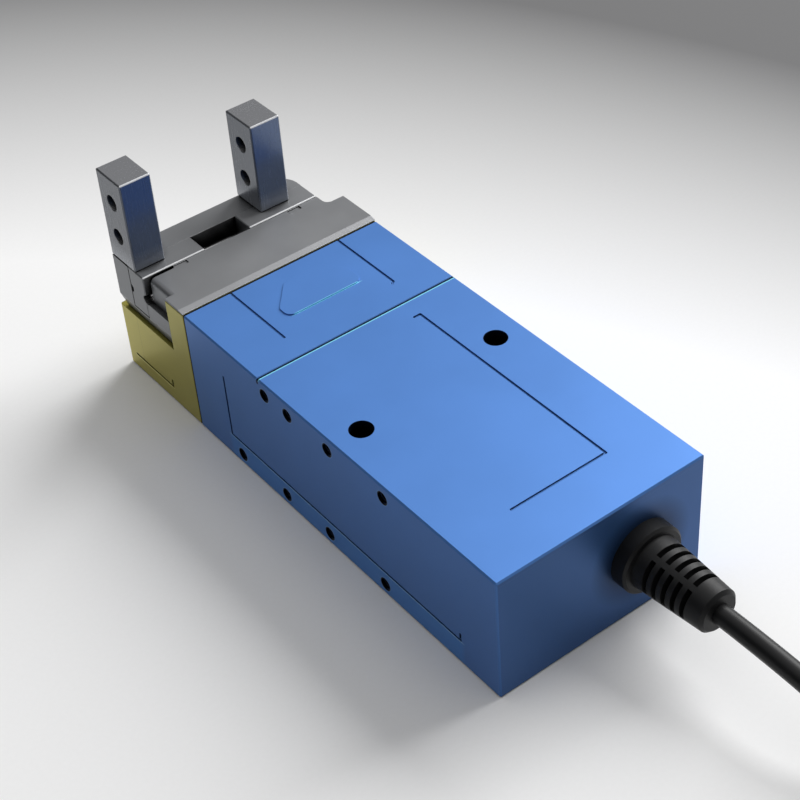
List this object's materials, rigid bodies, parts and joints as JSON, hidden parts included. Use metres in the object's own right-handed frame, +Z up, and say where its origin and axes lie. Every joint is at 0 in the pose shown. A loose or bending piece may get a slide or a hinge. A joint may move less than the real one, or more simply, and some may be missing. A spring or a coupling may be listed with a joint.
{
  "type": "electric two finger gripper",
  "caption": "Compact electric parallel gripper: blue motor housing, jaw guide with two sliding fingers, rack and pinion drive, and a rear cable with strain relief.",
  "frame": {"origin": "under the middle of the gripper without its cable, on the face that it rests on", "axes": "+Z up, +Y along the gripper towards the fingers, X along the jaw travel"},
  "size_m": [0.0723, 0.2955, 0.0631],
  "materials": {
    "blue_anodised": "satin blue anodised",
    "seal_rubber": "moulded",
    "screw_steel": "plated",
    "gold_anodised": "satin olive gold anodised",
    "silver_aluminium": "satin, bead blasted",
    "rod_steel": "ground",
    "finger_steel": "satin ground",
    "dark_steel": "hardened",
    "gear_bronze": "hobbed",
    "turned_aluminium": "turned",
    "motor_black": "satin",
    "stator_steel": "laminated",
    "copper": "enamelled wire",
    "magnet_iron": "ground",
    "board_green": "solder mask",
    "chip_black": "moulded",
    "nickel": "nickel plated",
    "black_rubber": "matte",
    "cable_black": "smooth jacket",
    "black_plastic": "moulded"
  },
  "bodies": {
    "frame": {"main_housing": "blue_anodised", "rear_top_cover": "blue_anodised", "front_top_cover": "blue_anodised", "rear_cover_seal": "seal_rubber", "front_cover_seal": "seal_rubber", "cover_screws": "screw_steel", "head_block": "gold_anodised", "head_cover": "gold_anodised", "head_screws": "screw_steel", "jaw_guide": "silver_aluminium", "guide_screws": "screw_steel", "guide_rods": "rod_steel", "output_bearing_front": "rod_steel", "output_bearing_rear": "rod_steel", "gearbox_front_plate": "turned_aluminium", "ring_gear": "dark_steel", "motor_front_plate": "turned_aluminium", "motor_can": "motor_black", "motor_rear_cap": "turned_aluminium", "motor_bearing_front": "rod_steel", "motor_bearing_rear": "rod_steel", "stator_core": "stator_steel", "stator_windings": "copper", "encoder_board": "board_green", "encoder_spacers": "turned_aluminium", "driver_board": "board_green", "driver_parts": "chip_black", "board_spacers": "turned_aluminium", "board_screws": "screw_steel", "gland_nut": "nickel", "cable_flange": "black_rubber", "strain_relief": "black_rubber", "inner_lead": "cable_black", "cable": "cable_black", "cable_coil": "cable_black", "cable_tail": "cable_black", "cable_tie": "black_plastic", "plug_body": "black_plastic", "plug_ring": "nickel"},
    "left_jaw": {"left_carriage": "silver_aluminium", "left_finger": "finger_steel", "left_finger_screws": "screw_steel", "left_rack": "dark_steel", "left_rack_screws": "screw_steel"},
    "right_jaw": {"right_carriage": "silver_aluminium", "right_finger": "finger_steel", "right_finger_screws": "screw_steel", "right_rack": "dark_steel", "right_rack_screw": "screw_steel"},
    "output": {"output_shaft": "rod_steel", "pinion": "gear_bronze", "pinion_set_screw": "screw_steel", "planet_pins": "rod_steel"},
    "rotor": {"rotor_shaft": "rod_steel", "rotor_magnet": "magnet_iron", "sun_gear": "gear_bronze", "encoder_disc": "turned_aluminium"},
    "planet_1": {"planet_gear_1": "gear_bronze"},
    "planet_2": {"planet_gear_2": "gear_bronze"},
    "planet_3": {"planet_gear_3": "gear_bronze"}
  },
  "joints": [
    {"name": "left_jaw_slide", "type": "slide", "parent": "frame", "child": "left_jaw", "axis": [1, 0, 0], "range_m": [0, 0.0065]},
    {"name": "right_jaw_slide", "type": "slide", "parent": "frame", "child": "right_jaw", "axis": [-1, 0, 0], "range_m": [0, 0.0065]},
    {"name": "output_spin", "type": "hinge", "parent": "frame", "child": "output", "pos_m": [-0.004, 0.06, 0.016], "axis": [0, 1, 0], "range_deg": [0, 78]},
    {"name": "rotor_spin", "type": "hinge", "parent": "frame", "child": "rotor", "pos_m": [-0.004, 0, 0.016], "axis": [0, 1, 0], "range_deg": [0, 311]},
    {"name": "planet_spin_1", "type": "hinge", "parent": "output", "child": "planet_1", "pos_m": [0.0032, 0.0224, 0.016], "axis": [0, 1, 0], "range_deg": [-233, 0]},
    {"name": "planet_spin_2", "type": "hinge", "parent": "output", "child": "planet_2", "pos_m": [-0.0076, 0.0224, 0.02224], "axis": [0, 1, 0], "range_deg": [-233, 0]},
    {"name": "planet_spin_3", "type": "hinge", "parent": "output", "child": "planet_3", "pos_m": [-0.0076, 0.0224, 0.00976], "axis": [0, 1, 0], "range_deg": [-233, 0]}
  ],
  "couplings": [
    {"joint": "right_jaw_slide", "follows": "left_jaw_slide", "ratio": 1},
    {"joint": "output_spin", "follows": "left_jaw_slide", "rad_per_m": 208.33},
    {"joint": "rotor_spin", "follows": "left_jaw_slide", "rad_per_m": 833.33},
    {"joint": "planet_spin_1", "follows": "left_jaw_slide", "rad_per_m": -625},
    {"joint": "planet_spin_2", "follows": "left_jaw_slide", "rad_per_m": -625},
    {"joint": "planet_spin_3", "follows": "left_jaw_slide", "rad_per_m": -625}
  ]
}
